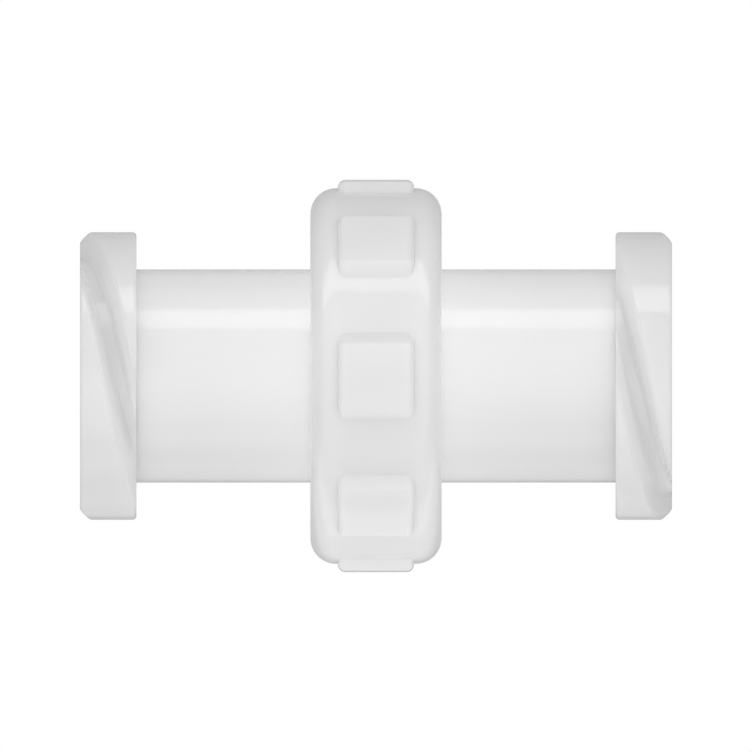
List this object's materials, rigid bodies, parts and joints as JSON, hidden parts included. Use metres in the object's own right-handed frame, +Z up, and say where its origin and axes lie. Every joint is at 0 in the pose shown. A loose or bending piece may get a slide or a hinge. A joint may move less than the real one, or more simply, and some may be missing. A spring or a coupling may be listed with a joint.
{
  "type": "push fit coupling",
  "caption": "Straight push fit coupling for plumbing pipe: a white plastic barrel with a padded grip ring, grooved twist-lock end caps and release collars.",
  "frame": {"origin": "middle of the coupling, on the pipes' common axis, which is also the centre of its bounding box", "axes": "+X along the pipes' axis to the right-hand socket's mouth, +Z up through a pad of the grip ring"},
  "size_m": [0.078, 0.0516, 0.0516],
  "materials": {
    "body_plastic": "glossy moulded white polypropylene, slightly translucent",
    "grip_plastic": "glossy moulded white polypropylene, slightly translucent",
    "cap_plastic": "glossy moulded white polypropylene, slightly translucent",
    "collar_plastic": "smooth moulded white acetal",
    "cartridge_plastic": "moulded natural acetal",
    "seal_rubber": "matt black EPDM rubber",
    "spring_steel": "pressed stainless spring steel"
  },
  "bodies": {
    "body": {"body": "body_plastic", "grip_ring": "grip_plastic", "right_o_ring": "seal_rubber", "left_o_ring": "seal_rubber"},
    "right_cartridge": {"right_spacer_ring": "cartridge_plastic", "right_grab_ring": "spring_steel", "right_retaining_ring": "cartridge_plastic"},
    "right_lock_cap": {"right_lock_cap": "cap_plastic"},
    "right_release_collar": {"right_release_collar": "collar_plastic"},
    "left_cartridge": {"left_spacer_ring": "cartridge_plastic", "left_grab_ring": "spring_steel", "left_retaining_ring": "cartridge_plastic"},
    "left_lock_cap": {"left_lock_cap": "cap_plastic"},
    "left_release_collar": {"left_release_collar": "collar_plastic"}
  },
  "joints": [
    {"name": "right_lock_travel", "type": "slide", "parent": "body", "child": "right_cartridge", "axis": [-1, 0, 0], "range_m": [0, 0.001]},
    {"name": "right_cap_twist", "type": "hinge", "parent": "right_cartridge", "child": "right_lock_cap", "pos_m": [0.039, 0, 0], "axis": [-1, 0, 0], "range_deg": [0, 90]},
    {"name": "right_collar_push", "type": "slide", "parent": "right_cartridge", "child": "right_release_collar", "axis": [-1, 0, 0], "range_m": [0, 0.002]},
    {"name": "left_lock_travel", "type": "slide", "parent": "body", "child": "left_cartridge", "axis": [1, 0, 0], "range_m": [0, 0.001]},
    {"name": "left_cap_twist", "type": "hinge", "parent": "left_cartridge", "child": "left_lock_cap", "pos_m": [-0.039, 0, 0], "axis": [1, 0, 0], "range_deg": [0, 90]},
    {"name": "left_collar_push", "type": "slide", "parent": "left_cartridge", "child": "left_release_collar", "axis": [1, 0, 0], "range_m": [0, 0.002]}
  ],
  "couplings": [
    {"joint": "right_lock_travel", "follows": "right_cap_twist", "m_per_rad": 0.0006366},
    {"joint": "left_lock_travel", "follows": "left_cap_twist", "m_per_rad": 0.0006366}
  ]
}
